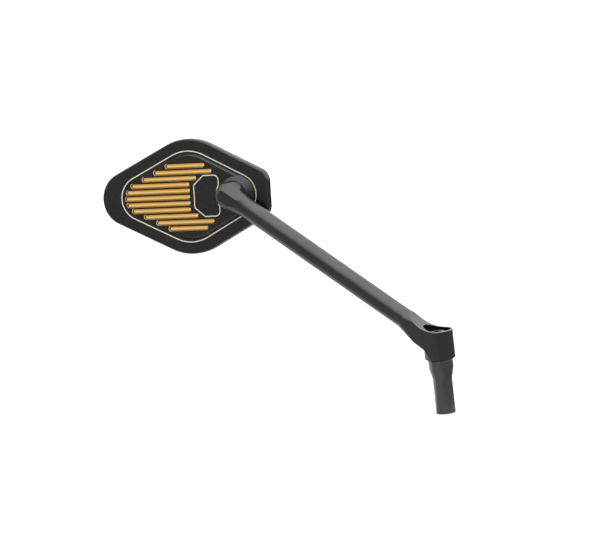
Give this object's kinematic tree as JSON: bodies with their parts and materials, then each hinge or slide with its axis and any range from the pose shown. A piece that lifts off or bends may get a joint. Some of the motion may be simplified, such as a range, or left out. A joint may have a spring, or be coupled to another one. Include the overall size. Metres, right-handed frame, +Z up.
{
  "type": "motorcycle mirror",
  "caption": "Right-hand motorcycle mirror: flat rhombic head with a slatted back on a ball joint, carried by a slanted round arm that swivels on a short threaded post.",
  "frame": {"origin": "centre of the post's lower end face, at the mouth of its threaded hole", "axes": "+Z up the post's axis, -X along the arm from the post towards the head, +Y the way the glass faces"},
  "size_m": [0.3058, 0.0404, 0.2357],
  "materials": {
    "black_anodised": "black anodised, fine satin",
    "gold_anodised": "gold anodised, satin",
    "black_steel": "black oxide",
    "steel": "zinc plated",
    "acetal": "black, plain",
    "pad_foam": "matte",
    "seal_rubber": "matte",
    "mirror_glass": "silvered glass"
  },
  "bodies": {
    "post_body": {"post": "black_anodised", "swivel_washer": "acetal", "clamp_screw": "black_steel", "clamp_washer": "steel", "disc_spring_lower": "steel", "disc_spring_upper": "steel"},
    "arm_body": {"arm": "black_anodised", "ball_stud": "steel", "stud_lock_screw": "black_steel"},
    "rear_seat_body": {"ball_seat_rear": "acetal"},
    "front_seat_body": {"ball_seat_front": "acetal"},
    "head_body": {"head_housing": "black_anodised", "slat_insert": "gold_anodised", "insert_screws": "steel", "ball_clamp_plate": "black_anodised", "clamp_plate_screws": "steel", "glass_pad": "pad_foam", "mirror_glass": "mirror_glass", "glass_seal": "seal_rubber"}
  },
  "joints": [
    {"name": "arm_swivel", "type": "hinge", "parent": "post_body", "child": "arm_body", "pos_m": [0, 0, 0.0452], "axis": [0, 0, 1], "continuous": true},
    {"name": "head_pan", "type": "hinge", "parent": "arm_body", "child": "rear_seat_body", "pos_m": [-0.1703, 0.01393, 0.18743], "axis": [0, 0, 1], "range_deg": [-6, 12]},
    {"name": "head_tilt", "type": "hinge", "parent": "rear_seat_body", "child": "front_seat_body", "pos_m": [-0.1703, 0.01393, 0.18743], "axis": [1, 0, 0], "range_deg": [-6, 12]},
    {"name": "head_spin", "type": "hinge", "parent": "front_seat_body", "child": "head_body", "pos_m": [-0.1703, 0.01393, 0.18743], "axis": [0, -0.9951, 0.0993], "range_deg": [-30, 30]}
  ]
}
